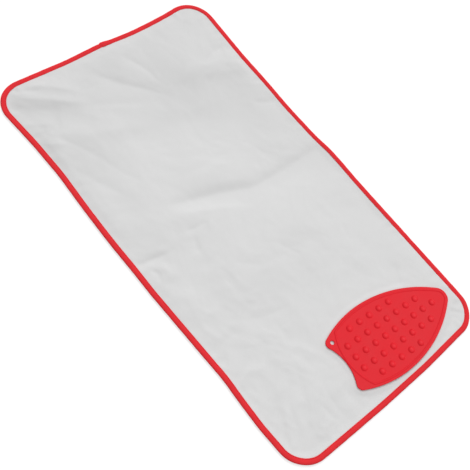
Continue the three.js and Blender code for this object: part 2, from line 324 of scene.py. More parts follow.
print("rest lies from", np.round(rest_on_mat.min(0) / MM), "to", np.round(rest_on_mat.max(0) / MM), "mm")

# %% [markdown]
# ## Folds and puckers
# A mat that is folded away keeps its creases. Each one is a shallow valley or a ridge along a line, steep
# on the left of the way it is drawn and gentle on the right. Between them the cloth is a little uneven
# and crumpled, wrinkles spread from the corners, and along the tape it puckers, because the seam gathers
# it. All of this could come from a cloth simulation, but the creases have their own places, so they are
# pressed in as heights over the mat.

# %% Creases of the face
FOLDS = [  # depth, width of the steep and the gentle side, and the line, in mm; a depth below 0 is a ridge
    (4.0, 13, 90, (-75, -100), (-58, -50), (-45, -12), (-30, 25), (-20, 55), (-16, 110), (-13, 170),
     (-9, 230), (-5, 290)),
    (4.4, 14, 26, (-86, -143), (-75, -105), (-58, -55), (-45, -12), (-28, 30), (-8, 80)),
    (4.2, 7, 34, (-26, 30), (-20, 60), (-16, 110), (-13, 170), (-9, 230), (-5, 290)),
    (-2.7, 12, 28, (-67, -150), (-52, -110), (-27, -55), (-3, -4), (20, 34)),
    (-6.2, 34, 100, (-242, 300), (-264, 230), (-284, 190), (-299, 150), (-297, 110), (-290, 50)),
    (-2.0, 14, 60, (-232, 290), (-246, 225), (-264, 180), (-278, 140), (-280, 100)),
    (2.2, 9, 18, (-288, 135), (-302, 165), (-314, 195), (-319, 240), (-322, 290)),
    (4.6, 13, 50, (-410, -66), (-378, -46), (-345, -20), (-315, 10), (-285, 34), (-255, 58)),
    (2.0, 7, 11, (-410, 14), (-385, 28), (-360, 40), (-335, 46), (-300, 44)),
    (-4.6, 13, 22, (-330, -88), (-350, -120), (-370, -148), (-394, -180), (-416, -212), (-440, -260)),
    (4.6, 24, 60, (-395, -235), (-340, -120), (-313, -65), (-290, -15), (-264, 50)),
    (-4.0, 26, 240, (-262, 30), (-296, -40), (-326, -98), (-358, -146), (-390, -190), (-420, -235)),
    (-3.0, 9, 24, (-358, -92), (-386, -121), (-408, -148), (-430, -180), (-450, -215)),
    (-5.2, 28, 220, (-342, -270), (-320, -220), (-306, -190), (-294, -170), (-280, -150), (-267, -120),
     (-257, -90), (-246, -60), (-228, -15)),
    (5.8, 42, 60, (-240, -150), (-230, -70), (-222, 0), (-195, 60), (-160, 130), (-135, 200)),
    (1.1, 8, 16, (-340, -235), (-318, -212), (-290, -190), (-262, -175), (-232, -163), (-200, -150)),
    (1.0, 8, 16, (-245, -165), (-215, -155), (-185, -146), (-155, -132), (-130, -120)),
    (1.4, 12, 16, (-262, -240), (-235, -215), (-200, -199), (-165, -183), (-130, -168), (-100, -160)),
    (-1.8, 8, 16, (-330, -180), (-342, -200), (-356, -225), (-368, -250)),
    (-1.8, 7, 12, (-284, -190), (-292, -208), (-304, -228), (-314, -250)),
    (3.0, 4, 11, (-16, -290), (-13, -235), (-10, -212), (-5, -188), (2, -160)),
    (2.0, 7, 12, (-178, 180), (-168, 197), (-158, 215), (-150, 250)),
    (1.8, 6, 10, (-6, -114), (8, -119), (20, -124), (36, -130)),
    (1.7, 4, 6, (4, -228), (11, -218), (22, -215), (33, -222), (40, -230)),
    (-1.6, 9, 14, (6, -192), (18, -200), (34, -200), (50, -206)),
    (1.5, 5, 10, (-16, -124), (-14, -104), (-13, -88), (-12, -70)),
    (2.0, 14, 24, (98, 165), (112, 180), (135, 205), (155, 228), (165, 260)),
    (1.8, 8, 14, (174, -150), (188, -125), (197, -100), (203, -72), (208, -45)),
    (1.0, 7, 12, (88, 6), (110, 16), (130, 26), (156, 34)),
    (1.2, 8, 14, (70, -92), (88, -78), (104, -60), (122, -40)),
    (1.6, 6, 10, (256, 182), (278, 170), (295, 160), (312, 148)),
    (1.7, 6, 10, (290, -120), (318, -133), (340, -144), (365, -158), (395, -170)),
    (1.6, 6, 10, (215, -134), (238, -147), (252, -158), (275, -174)),
    (1.3, 6, 10, (196, -92), (220, -98), (246, -98), (270, -108)),
    (1.9, 7, 12, (345, -158), (372, -168), (400, -184), (430, -200), (458, -217)),
    (1.4, 6, 10, (330, -178), (370, -190), (400, -206), (428, -228)),
    (1.2, 6, 10, (255, -182), (285, -192), (312, -206), (335, -228)),
    (1.4, 5, 8, (392, -68), (415, -56), (440, -46), (465, -40)),
    (1.3, 5, 8, (370, -80), (410, -76), (440, -70), (465, -62)),
    (1.3, 5, 9, (340, -102), (380, -112), (420, -112), (458, -100)),
    (1.3, 5, 9, (360, -136), (400, -132), (440, -118), (465, -106)),
    (1.2, 5, 8, (392, -128), (410, -134), (430, -146), (455, -158)),
    (1.2, 5, 8, (378, -172), (400, -176), (425, -182), (450, -190)),
    (1.5, 5, 9, (437, 112), (430, 150), (415, 190), (396, 222), (378, 256)),
]
FOLD_ROUNDING = 0.3  # rounding of a crease along its line, as a share of its steep side
FOLD_FADE, FADE_SHARE = 80 * MM, 0.35  # length of its fading ends, and their largest share of the line


def crease(x, y, depth, steep, gentle, *line):
    """The height of one crease over the mat: a valley or a ridge that fades at both ends."""
    left, along, length = line_place(x, y, np.array(line) * MM)
    width = np.where(left > 0, steep, gentle) * MM
    rounding = FOLD_ROUNDING * steep * MM
    away = np.hypot(left, rounding) - rounding
    fade_run = min(FOLD_FADE, FADE_SHARE * length)
    fade = ease(0, fade_run, along) * ease(0, fade_run, length - along)
    return -depth * MM * np.exp(-away / width) * fade


print(len(FOLDS), "creases")

# %% Unevenness
NOISE_CELLS = 64
UNEVEN = [(120, 2.0, 1), (56, 0.8, 2), (25, 0.42, 3), (12, 0.18, 4)]  # size and height in mm, and a seed
DRIFT, DRIFT_SIZE, DRIFT_SEEDS = 30, 80, (21, 22)  # how far bumps are pulled aside, and over what size
BUMP_ALONG, BUMP_ASIDE = 0.82, 0.57  # the slant of the bumps


def uneven(u, v, seed):
    """Heights from -1 to 1 that pass softly from one random value to the next at whole numbers."""
    values = np.random.default_rng(seed).uniform(-1, 1, (NOISE_CELLS, NOISE_CELLS))
    i, j = np.floor(u).astype(int), np.floor(v).astype(int)
    a, b = ease(0, 1, u - i), ease(0, 1, v - j)
    i, j, next_i, next_j = (k % NOISE_CELLS for k in (i, j, i + 1, j + 1))
    near = values[i, j] * (1 - a) + values[next_i, j] * a
    far = values[i, next_j] * (1 - a) + values[next_i, next_j] * a
    return near * (1 - b) + far * b


def soft_bumps(x, y):
    """The general unevenness of cloth over felt, with bumps of several sizes that don't line up."""
    x, y = x / MM, y / MM
    drift_x, drift_y = (DRIFT * uneven(x / DRIFT_SIZE, y / DRIFT_SIZE, seed) for seed in DRIFT_SEEDS)
    u, v = BUMP_ALONG * x - BUMP_ASIDE * y + drift_x, BUMP_ASIDE * x + BUMP_ALONG * y + drift_y
    return sum(rise * MM * uneven(u / size, v / size, seed) for size, rise, seed in UNEVEN)


print("bumps of", ", ".join(str(size) for size, _, _ in UNEVEN), "mm")

# %% Crumples
CRUMPLES = [(31, 1, 31), (16, 0.5, 32)]  # size in mm, share of the height, and a seed
CRUMPLE_HEIGHT, CRUMPLE_LEAST = 1.3 * MM, 0.25
CRUMPLE_DRIFT, CRUMPLE_DRIFT_SIZE, CRUMPLE_SEED = 16, 45, 23
CRUMPLE_ALONG, CRUMPLE_ASIDE = 0.9, 0.44  # the slant of the crumples
CRUMPLED_X, CRUMPLED_Y = (40, 240), (-150, -10)  # in mm: they set in along the mat and die out across it


def crumples(x, y):
    """Small sharp ridges where two unevennesses change sides, most of them beside the rest."""
    x, y = x / MM, y / MM
    drift = CRUMPLE_DRIFT * uneven(x / CRUMPLE_DRIFT_SIZE, y / CRUMPLE_DRIFT_SIZE, CRUMPLE_SEED)
    u = CRUMPLE_ALONG * x + CRUMPLE_ASIDE * y + drift
    v = CRUMPLE_ALONG * y - CRUMPLE_ASIDE * x - drift
    ridges = sum(share * np.abs(uneven(u / size, v / size, seed)) for size, share, seed in CRUMPLES)
    beside_rest = ease(*CRUMPLED_X, x) * (1 - ease(*CRUMPLED_Y, y))
    return -CRUMPLE_HEIGHT * ridges * (CRUMPLE_LEAST + (1 - CRUMPLE_LEAST) * beside_rest)


print("crumples of", ", ".join(str(size) for size, _, _ in CRUMPLES), "mm")

# %% Wrinkles from the corners
FANS = [  # a point that wrinkles spread from, how far they reach and rise, in mm, and a seed
    (-462, -262, 160, 1.0, 11), (470, -268, 240, 1.2, 12),
    (462, 262, 150, 0.7, 14), (-462, 262, 170, 1.1, 15),
]
STREAK_ANGLE, STREAK_FIRST, STREAK_LENGTH = 5.5, 200, 70  # degrees, cells and mm
FAN_SETS_IN, FAN_FULL, FAN_DIES = 0.1, 0.4, 0.5  # shares of the reach


def fan(x, y, from_x, from_y, reach, rise, seed):
    """Wrinkles that spread from a point and die away."""
    dx, dy = x / MM - from_x, y / MM - from_y
    distance, angle = np.hypot(dx, dy), np.degrees(np.arctan2(dy, dx))
    streaks = uneven(angle / STREAK_ANGLE + STREAK_FIRST, distance / STREAK_LENGTH, seed)
    setting_in = ease(FAN_SETS_IN * reach, FAN_FULL * reach, distance)
    return rise * MM * streaks * setting_in * (1 - ease(FAN_DIES * reach, reach, distance))


print("wrinkles spread from", len(FANS), "corners")

# %% Puckers
PUCKERS = 4 * NOISE_CELLS
PUCKER_HEIGHT, PUCKER_LENGTH = 1.4 * MM, 45 * MM
PUCKER_FULL, PUCKER_REACH = 12 * MM, 44 * MM  # insets at which puckers start to fade and are gone
PUCKER_MEAN, PUCKER_CHANGE = 0.6, 0.4
PUCKER_SEED, STRENGTH_SEED = 5, 6


def puckers(run, inset):
    """Small gathers across the seam, stronger in some places than in others."""
    waves = uneven(run * PUCKERS / WHOLE_RUN, inset / PUCKER_LENGTH, PUCKER_SEED)
    strength = PUCKER_MEAN + PUCKER_CHANGE * uneven(run * NOISE_CELLS / WHOLE_RUN, 0 * run, STRENGTH_SEED)
    return PUCKER_HEIGHT * waves * strength * (1 - ease(PUCKER_FULL, PUCKER_REACH, inset))


print("puckers every", round(WHOLE_RUN / PUCKERS / MM, 1), "mm")

# %% [markdown]
# ## The three layers
# The mat is a face cloth, a felt wadding and a backing cloth. In the field they lie on the table one
# over the other; at the edge the tape squeezes them together half way up. Each layer is a grid that is
# rounded at its corners, set at its lower height and extruded up to its upper one, so it is a closed sheet.

# %% Heights of the layers
face_low, face_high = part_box("face_cloth")
wadding_low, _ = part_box("wadding")
backing_low, backing_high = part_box("backing_cloth")
CLOTH = 0.5 * MM
LAYER_GAP = 0.3 * MM
TAPE_WIDTH = 11 * MM
SWELL_WIDTH = 14 * MM
FELT_LEAST = 0.3 * MM
BULGE, BULGE_WIDTH, RISE_WIDTH = 0.45, 1.5 * MM, 36 * MM  # share that bulges at the tape, and both widths
LIFT, LIFT_EASING = 5.5 * MM, 220 * MM
LIFTED_TO, FLAT_FROM = 60 * MM, 230 * MM  # along the mat: it lies flat at the end with the rest
UNDER_TAPE = 2 * MM
VALLEY_TO_TAPE, RIDGE_TO_TAPE, PUCKER_TO_TAPE = 6 * MM, 20 * MM, 5 * MM
STOP_POWER = 4  # how suddenly the felt stops a fold


def edge_to_field(inset, at_edge, in_field):
    """A height that changes from the squeezed edge to the full field."""
    return at_edge + (in_field - at_edge) * ease(TAPE_WIDTH, TAPE_WIDTH + SWELL_WIDTH, inset)


def face_top(x, y):
    """The upper side of the face cloth: it bulges against the tape, then rises slowly to the field.

    Away from the rest the mat doesn't quite lie flat, and the deepest folds are stopped by the felt.
    """
    run, inset, _ = edge_place(x, y)
    bulge = BULGE * ease(TAPE_WIDTH - BULGE_WIDTH, TAPE_WIDTH + BULGE_WIDTH, inset)
    bulge += (1 - BULGE) * ease(TAPE_WIDTH, TAPE_WIDTH + RISE_WIDTH, inset)
    low, high = face_low.z + CLOTH, face_high.z
    lift = LIFT * ease(TAPE_WIDTH, TAPE_WIDTH + LIFT_EASING, inset) * (1 - ease(LIFTED_TO, FLAT_FROM, x))
    flat = low + (high - low) * bulge + lift
    folds = sum(crease(x, y, *fold) for fold in FOLDS) + sum(fan(x, y, *spread) for spread in FANS)
    folds += soft_bumps(x, y) + crumples(x, y)
    edge_reach = np.where(folds < 0, VALLEY_TO_TAPE, RIDGE_TO_TAPE)
    folds *= ease(TAPE_WIDTH - UNDER_TAPE, TAPE_WIDTH + edge_reach, inset)
    folds += puckers(run, inset) * ease(TAPE_WIDTH - UNDER_TAPE, TAPE_WIDTH + PUCKER_TO_TAPE, inset)
    room = flat - CLOTH - LAYER_GAP - FELT_LEAST - wadding_under(x, y)
    deep = np.maximum(-folds, 0) / room
    folds /= (1 + deep ** STOP_POWER) ** (1 / STOP_POWER)
    return flat + folds * (1 - pressed(x, y))


def face_under(x, y):
    return face_top(x, y) - CLOTH


def wadding_top(x, y):
    return face_under(x, y) - LAYER_GAP


def wadding_under(x, y):
    return edge_to_field(edge_place(x, y)[1], backing_high.z + LAYER_GAP, wadding_low.z)


def backing_top(x, y):
    return backing_under(x, y) + CLOTH


def backing_under(x, y):
    return edge_to_field(edge_place(x, y)[1], backing_high.z - CLOTH, backing_low.z)


print("field from", round(backing_low.z / MM, 2), "to", round(face_high.z / MM, 2), "mm")

# %% One layer from a grid
FACE_CELL, WADDING_CELL, BACKING_CELL = 3.3 * MM, 6 * MM, 8 * MM


def round_corner(x, y, half_x, half_y, radius):
    """Pulls the square corners of a grid in to round ones, without crowding the cells."""
    p = np.clip((np.abs(x) - half_x + radius) / radius, 0, 1)
    q = np.clip((np.abs(y) - half_y + radius) / radius, 0, 1)
    pull_x = radius * p * (1 - np.sqrt(1 - q * q / 2))
    pull_y = radius * q * (1 - np.sqrt(1 - p * p / 2))
    return x - np.sign(x) * pull_x, y - np.sign(y) * pull_y


def mat_layer(name, cell, under, over):
    """A closed layer of the mat, between two heights that are given over x and y."""
    low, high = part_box(name)
    bpy.ops.object.select_all(action="DESELECT")
    bpy.ops.mesh.primitive_grid_add(
        x_subdivisions=round((high.x - low.x) / cell), y_subdivisions=round((high.y - low.y) / cell), size=2)
    layer = name_new(name + "_laid")
    points = points_of(layer)
    radius = CORNER_RADIUS - (HALF_LENGTH - high.x)
    x, y = round_corner(points[:, 0] * high.x, points[:, 1] * high.y, high.x, high.y, radius)
    move_points(layer, np.stack([x, y, under(x, y)], -1))
    edit(layer)
    bpy.ops.mesh.extrude_region_move(TRANSFORM_OT_translate={"value": (0, 0, CLOTH)})
    leave_edit()
    points = points_of(layer)
    raised = np.array([v.select for v in layer.data.vertices])
    x, y = points[raised, 0], points[raised, 1]
    points[raised, 2] = over(x, y)
    points[:, 0], points[:, 1] = settle(points[:, 0], points[:, 1])
    move_points(layer, points)
    bpy.ops.object.shade_smooth()
    print(layer.name, len(layer.data.polygons), "faces, heights",
          round(points[:, 2].min() / MM, 2), "to", round(points[:, 2].max() / MM, 2), "mm")
    return layer


face = mat_layer("face_cloth", FACE_CELL, face_under, face_top)
wadding = mat_layer("wadding", WADDING_CELL, wadding_under, wadding_top)
backing = mat_layer("backing_cloth", BACKING_CELL, backing_under, backing_top)

# %% [markdown]
# ## The edge binding
# One tape is folded over the edges of the layers and sewn through. Its section is a rounded hook: flat
# flaps above and below, a full nose outside, and a dip where the seam pulls it down. A grid is wrapped
# along the edge and round that section, and its two seams are merged, so the tape is one closed ring.

# %% Section of the tape
TAPE = 0.7 * MM
TAPE_SECTION = np.array([  # inset from the edge and height, in mm, round the outside of the tape
    (11, 1), (10.2, 0.66), (9, 0.8), (7, 0.55), (4.6, 0.5), (2.2, 0.72), (0.6, 1.6), (0, 2.75),
    (0.6, 3.95), (2.2, 4.85), (4.6, 5.2), (7, 5), (9, 4.5), (10.2, 4.6), (11, 4.3)])
OUTER_STEPS, INNER_STEPS = 34, 16


def smooth_line(points, count):
    """A soft curve of count points through the given ones."""
    ends = np.vstack([2 * points[0] - points[1], points, 2 * points[-1] - points[-2]])
    place = np.linspace(0, len(points) - 1, count)
    i = np.minimum(place.astype(int), len(points) - 2)
    t = (place - i)[:, None]
    before, start, stop, after = ends[i], ends[i + 1], ends[i + 2], ends[i + 3]
    return 0.5 * (2 * start + (stop - before) * t + (2 * before - 5 * start + 4 * stop - after) * t * t
                  + (3 * start - before - 3 * stop + after) * t ** 3)


def line_normals(line):
    """Directions out of a section that is drawn from its lower to its upper flap."""
    along = np.gradient(line, axis=0)
    along /= np.linalg.norm(along, axis=1)[:, None]
    return np.stack([-along[:, 1], along[:, 0]], -1)


outer = smooth_line(TAPE_SECTION, OUTER_STEPS) * MM
inner = smooth_line(TAPE_SECTION, INNER_STEPS) * MM
inner = inner - TAPE * line_normals(inner)
section = np.concatenate([outer, inner[::-1], outer[:1]])
outer_out = line_normals(outer)
section_out = np.concatenate([outer_out, 0 * inner, outer_out[:1]])
across = np.concatenate([[0], np.cumsum(np.linalg.norm(np.diff(section, axis=0), axis=1))])
print("tape", round(across[OUTER_STEPS - 1] / MM, 1), "mm wide before it is folded")

# %% Wrap a grid to a ring
MERGE_DISTANCE = 0.01 * MM


def wrapped_grid(name, places, runs, widths):
    """A ring from a grid: places[i, j] is where it goes at run i and width j; both ways it closes."""
    bpy.ops.object.select_all(action="DESELECT")
    rows, columns = places.shape[0] - 1, places.shape[1] - 1
    bpy.ops.mesh.primitive_grid_add(x_subdivisions=rows, y_subdivisions=columns, size=2)
    ring = name_new(name)
    flat = points_of(ring)
    i = np.rint((flat[:, 0] + 1) / 2 * rows).astype(int)
    j = np.rint((flat[:, 1] + 1) / 2 * columns).astype(int)
    move_points(ring, places[i, j])
    corners = np.empty(len(ring.data.loops), int)
    ring.data.loops.foreach_get("vertex_index", corners)
    ring.data.uv_layers[0].data.foreach_set(
        "uv", np.stack([runs[i[corners]], widths[j[corners]]], -1).ravel())
    edit(ring)
    bpy.ops.mesh.remove_doubles(threshold=MERGE_DISTANCE)
    bpy.ops.mesh.normals_make_consistent(inside=False)
    leave_edit()
    bpy.ops.object.shade_smooth()
    return ring


print("points closer than", MERGE_DISTANCE / MM, "mm are merged")

# %% [markdown]
# The tape's two ends are lapped at the middle of the far end: there the outer end lies over the inner
# one for a short way, with a cut edge. Along the whole tape small puckers show where it was eased round.

# %% Wrap the tape
TAPE_STATIONS = 1000
TAPE_PUCKER = 0.16 * MM
TABLE_CLEAR = 0.1 * MM
LAP_PLACE, LAP_LENGTH, LAP_RISE, LAP_FLAT = 2 * MM, 28 * MM, 1.5 * MM, 4 * MM
RIPPLE_RATE, RIPPLE_WIDTH, RIPPLE_SEED = 1.5, 7 * MM, 8  # rate against the puckers of the face
SWAY_SHARE, SWAY_WIDTH, SWAY_SEED = 0.8, 9 * MM, 9  # a slower unevenness along the tape

tape_run = np.linspace(0, WHOLE_RUN, TAPE_STATIONS + 1)
lap_end = 2 * QUARTER_RUN - LAP_PLACE
lap = LAP_RISE * (tape_run < lap_end) * ease(lap_end - LAP_LENGTH, lap_end - LAP_FLAT, tape_run)
spot, outward = edge_at(tape_run)
run_grid, across_grid = np.meshgrid(tape_run, across, indexing="ij")
ripple = uneven(run_grid * PUCKERS * RIPPLE_RATE / WHOLE_RUN, across_grid / RIPPLE_WIDTH, RIPPLE_SEED)
ripple += SWAY_SHARE * uneven(run_grid * NOISE_CELLS / WHOLE_RUN, across_grid / SWAY_WIDTH, SWAY_SEED)
ripple[:, -1] = ripple[:, 0]
stand = TAPE_PUCKER * ripple + lap[:, None]
inset = section[:, 0] + stand * section_out[:, 0]
height = np.maximum(section[:, 1] + stand * section_out[:, 1], TABLE_CLEAR)
x = spot[:, :1] - outward[:, :1] * inset
y = spot[:, 1:] - outward[:, 1:] * inset
shift = wander(tape_run)[:, None]
x, y = x + shift * outward[:, :1], y + shift * outward[:, 1:]
places = np.stack([x, y, height], -1)
places[-1] = places[0]
binding = wrapped_grid("edge_binding_tape", places, tape_run, across)
print(binding.name, len(binding.data.polygons), "faces")

# %% [markdown]
# ## The seam
# A lockstitch holds the tape: the needle thread shows on top as a row of short stitches, the bobbin
# thread below. One stitch is modelled from a low cylinder whose ends are drawn in and dip into the tape.
# An Array modifier repeats it, and a Curve modifier lays the row along the seam.

# %% One stitch
STITCH_LENGTH, STITCH_PITCH, THREAD = 2.5 * MM, 3.2 * MM, 0.5 * MM
STITCH_SIDES = 8
BODY_SHARE, TIP_SHARE = 0.6, 0.2  # shares of the length
TIP_DIP, TIP_SIZE = 0.6, 0.7  # as shares of the thread
FACES_END = 0.9  # a face that looks along the stitch at least this squarely is its end


def one_stitch(name, up):
    """A stitch along +X that bows towards up, 1 or -1."""
    bpy.ops.object.select_all(action="DESELECT")
    bpy.ops.mesh.primitive_cylinder_add(
        vertices=STITCH_SIDES, radius=THREAD / 2, depth=BODY_SHARE * STITCH_LENGTH, end_fill_type="NGON",
        location=(STITCH_PITCH / 2, 0, 0), rotation=(0, math.pi / 2, 0))
    bpy.ops.object.transform_apply(location=True, rotation=True, scale=True)
    stitch = name_new(name)
    for side in (-1, 1):
        edit(stitch)
        bpy.ops.mesh.select_mode(type="FACE")
        bpy.ops.mesh.select_all(action="DESELECT")
        leave_edit()
        for face_of_end in stitch.data.polygons:
            face_of_end.select = face_of_end.normal.x * side > FACES_END
        bpy.ops.object.mode_set(mode="EDIT")
        tip = (side * TIP_SHARE * STITCH_LENGTH, 0, -up * TIP_DIP * THREAD)
        bpy.ops.mesh.extrude_region_move(TRANSFORM_OT_translate={"value": tip})
        centre = (STITCH_PITCH / 2 + side * STITCH_LENGTH / 2, 0, -up * TIP_DIP * THREAD)
        bpy.ops.transform.resize(value=(TIP_SIZE, TIP_SIZE, TIP_SIZE), center_override=centre)
        leave_edit()
    bpy.ops.object.shade_smooth()
    return stitch


print("stitch", STITCH_LENGTH / MM, "mm long, at a pitch of", STITCH_PITCH / MM, "mm")

# %% Sew the two rows
SEAM_INSET, SEAM_POINTS = 9 * MM, 900
NEEDLE_HEIGHT, BOBBIN_HEIGHT = 4.55 * MM, 0.72 * MM


def sewn_row(name, up, seam_height):
    """A row of stitches along the seam, at a height of the tape."""
    stitch = one_stitch(name, up)
    runs = np.linspace(0, WHOLE_RUN, SEAM_POINTS, endpoint=False)
    spot, outward = edge_at(runs)
    shift = wander(runs)[:, None]
    line = spot + outward * (shift - SEAM_INSET)
    rise = np.interp(runs, tape_run, lap) * (up > 0)
    bpy.ops.object.select_all(action="DESELECT")
    bpy.ops.mesh.primitive_circle_add(vertices=len(runs), radius=1)
    path = name_new(name + "_path")
    move_points(path, np.column_stack([line, seam_height + rise]))
    take(path)
    bpy.ops.object.convert(target="CURVE")
    path.data.twist_mode = "Z_UP"
    length = np.linalg.norm(np.diff(np.vstack([line, line[:1]]), axis=0), axis=1).sum()
    count = round(length / STITCH_PITCH)
    shape_with(stitch, "ARRAY", count=count, use_relative_offset=False, use_constant_offset=True,
               constant_offset_displace=(length / count, 0, 0))
    shape_with(stitch, "CURVE", object=path, deform_axis="POS_X")
    bpy.data.objects.remove(path)
    print(name, count, "stitches,", len(stitch.data.polygons), "faces")
    return stitch


needle_row = sewn_row("needle_stitches", 1, NEEDLE_HEIGHT)
bobbin_row = sewn_row("bobbin_stitches", -1, BOBBIN_HEIGHT)

# %% [markdown]
# ## The iron rest
# The rest is one moulding of silicone rubber: a thin sheet with a rounded rim, a raised lip a little way
# in from the rim, and rows of domed studs that keep the hot plate off the sheet. Sheet, lip and stud are
# modelled apart and joined with Boolean modifiers, which is how they would be cut into a mould.

# %% The sheet
rest_low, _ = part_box("iron_rest")
SHEET = 2.2 * MM
SHEET_TOP = rest_low.z + SHEET

bpy.ops.object.select_all(action="DESELECT")
bpy.ops.mesh.primitive_circle_add(vertices=len(rest_line), radius=1, fill_type="NGON")
rest = name_new("iron_rest_moulding")
move_points(rest, np.column_stack([rest_line, np.full(len(rest_line), rest_low.z)]))
edit(rest)
bpy.ops.mesh.extrude_region_move(TRANSFORM_OT_translate={"value": (0, 0, SHEET)})
bpy.ops.mesh.select_all(action="SELECT")
bpy.ops.mesh.normals_make_consistent(inside=False)
leave_edit()
print("sheet", np.round(np.ptp(points_of(rest), 0) / MM, 2), "mm")

# %% The hanging hole and the rounded rim
HOLE_PLACE, HOLE_RADIUS, HOLE_SIDES = np.array([-45, -125]) * MM, 4 * MM, 40
RIM_ROUNDING, RIM_STEPS = 0.65 * MM, 4
SHARP_FROM = math.radians(60)


def cut_with(piece, cutter, operation):
    """Joins another piece to this one, or cuts it out, and throws the other away."""
    shape_with(piece, "BOOLEAN", object=cutter, operation=operation, solver="EXACT")
    bpy.data.objects.remove(cutter)


bpy.ops.object.select_all(action="DESELECT")
bpy.ops.mesh.primitive_cylinder_add(
    vertices=HOLE_SIDES, radius=HOLE_RADIUS, depth=4 * SHEET, location=(*HOLE_PLACE, SHEET_TOP))
bpy.ops.object.transform_apply(location=True, rotation=True, scale=True)
cut_with(rest, bpy.context.object, "DIFFERENCE")
edit(rest)
bpy.ops.mesh.select_mode(type="EDGE")
bpy.ops.mesh.select_all(action="DESELECT")
bpy.ops.mesh.edges_select_sharp(sharpness=SHARP_FROM)
bpy.ops.mesh.bevel(offset=RIM_ROUNDING, segments=RIM_STEPS, profile=0.5, affect="EDGES")
leave_edit()
print("sheet with hole and rounded rim:", len(rest.data.polygons), "faces")

# %% [markdown]
# The lip runs beside the sides and crosses the tail in a bow. Its corners are circles that touch both,
# found where the two parallel arcs at the corner's radius cross.

# %% The lip
LIP_INSET, LIP_HEIGHT = 6.3, 1  # in mm, as are the bow and the corner
LIP_BOW = (0, -16.2, 108)
LIP_CORNER = 3
LIP_SECTION = np.array([  # across the lip and above the sheet, in mm
    (-2.5, -0.5), (-2.4, 0.02), (-2, 0.07), (-1.6, 0.34), (-1.2, 0.7), (-0.7, 0.94), (0, LIP_HEIGHT),
    (0.7, 0.94), (1.2, 0.7), (1.6, 0.34), (2, 0.07), (2.4, 0.02), (2.5, -0.5), (0, -0.6)]) * MM


def touching_corner():
    """The circle inside the bow and the rear side, and the angles at which it touches them."""
    (bow_x, bow_y, bow), (rear_x, rear_y, rear) = LIP_BOW, REAR_SIDE
    bow, rear = bow - LIP_CORNER, rear - LIP_INSET - LIP_CORNER
    apart = math.hypot(bow_x - rear_x, bow_y - rear_y)
    along = (rear ** 2 - bow ** 2 + apart ** 2) / (2 * apart)
    aside = math.sqrt(rear ** 2 - along ** 2)
    ux, uy = (bow_x - rear_x) / apart, (bow_y - rear_y) / apart
    x, y = rear_x + along * ux + aside * uy, rear_y + along * uy - aside * ux
    angles = [math.degrees(math.atan2(y - cy, x - cx)) for cx, cy in ((bow_x, bow_y), (rear_x, rear_y))]
    return (x, y, LIP_CORNER), *angles


corner, bow_angle, rear_angle = touching_corner()
lip_line = closed_line(np.concatenate([
    arc(LIP_BOW, -90, bow_angle), arc(corner, bow_angle, rear_angle), side_to_tip(rear_angle, LIP_INSET)]))
ahead = np.roll(lip_line, -1, 0) - np.roll(lip_line, 1, 0)
ahead /= np.linalg.norm(ahead, axis=1)[:, None]
outside = np.stack([ahead[:, 1], -ahead[:, 0]], -1)
lip_section = np.vstack([LIP_SECTION, LIP_SECTION[:1]])
ring = lip_line[:, None] + outside[:, None] * lip_section[None, :, :1]
heights = np.broadcast_to(SHEET_TOP + lip_section[:, 1], ring.shape[:2])
places = np.concatenate([ring, heights[..., None]], -1)
places = np.concatenate([places, places[:1]])
lip = wrapped_grid("lip", places, np.arange(len(places)) * MM, np.arange(len(lip_section)) * MM)
print("lip", len(lip.data.polygons), "faces,", np.round(np.ptp(lip_line, 0) / MM, 1), "mm")

# %% [markdown]
# A stud is a low dome, the cap of a ball. Its rim is extruded ring by ring: down a steep side, out into
# a soft foot, and straight down into the sheet as a root, so that the Boolean has something to bite on.
# The one stud is then copied to its places.

# %% One stud
STUD_RADIUS, STUD_SPREAD = 4.9 * MM, math.radians(20)
PITCH_ALONG, PITCH_ACROSS, STUD_SHIFT = 25.5 * MM, 24 * MM, -2.8 * MM
STUD_ROWS = {-2: range(-3, 2), -1: range(-4, 4), 0: range(-4, 5), 1: range(-4, 4), 2: range(-3, 2)}
STUD_SIDE = (  # spread and drop of each ring below the dome: a steep side, a soft foot, and a root
    (1.11, -0.48 * MM), (1.09, -0.66 * MM), (1.07, -0.5 * MM), (1.07, -0.2 * MM), (1.065, -0.04 * MM),
    (1, -0.4 * MM))
STUD_RINGS, STUD_SIDES = 36, 28

ball_radius = STUD_RADIUS / math.sin(STUD_SPREAD)
cap_floor = ball_radius * math.cos(STUD_SPREAD)
bpy.ops.object.select_all(action="DESELECT")
bpy.ops.mesh.primitive_uv_sphere_add(segments=STUD_SIDES, ring_count=STUD_RINGS, radius=ball_radius)
stud = name_new("stud")
edit(stud)
bpy.ops.mesh.select_all(action="DESELECT")
leave_edit()
for point in stud.data.vertices:
    point.select = point.co.z < cap_floor - MERGE_DISTANCE
bpy.ops.object.mode_set(mode="EDIT")
bpy.ops.mesh.select_mode(type="VERT")
bpy.ops.mesh.delete(type="VERT")
bpy.ops.mesh.select_non_manifold()
for spread, drop in STUD_SIDE:
    bpy.ops.mesh.extrude_edges_move(TRANSFORM_OT_translate={"value": (0, 0, drop)})
    bpy.ops.transform.resize(value=(spread, spread, 1), center_override=(0, 0, 0))
bpy.ops.mesh.edge_face_add()
bpy.ops.mesh.select_all(action="SELECT")
foot_drop = sum(drop for _, drop in STUD_SIDE[:-1])
bpy.ops.transform.translate(value=(0, 0, SHEET_TOP - cap_floor - foot_drop))
bpy.ops.mesh.normals_make_consistent(inside=False)
leave_edit()
print("stud", round((points_of(stud)[:, 2].max() - SHEET_TOP) / MM, 2), "mm high,",
      len(stud.data.polygons), "faces")

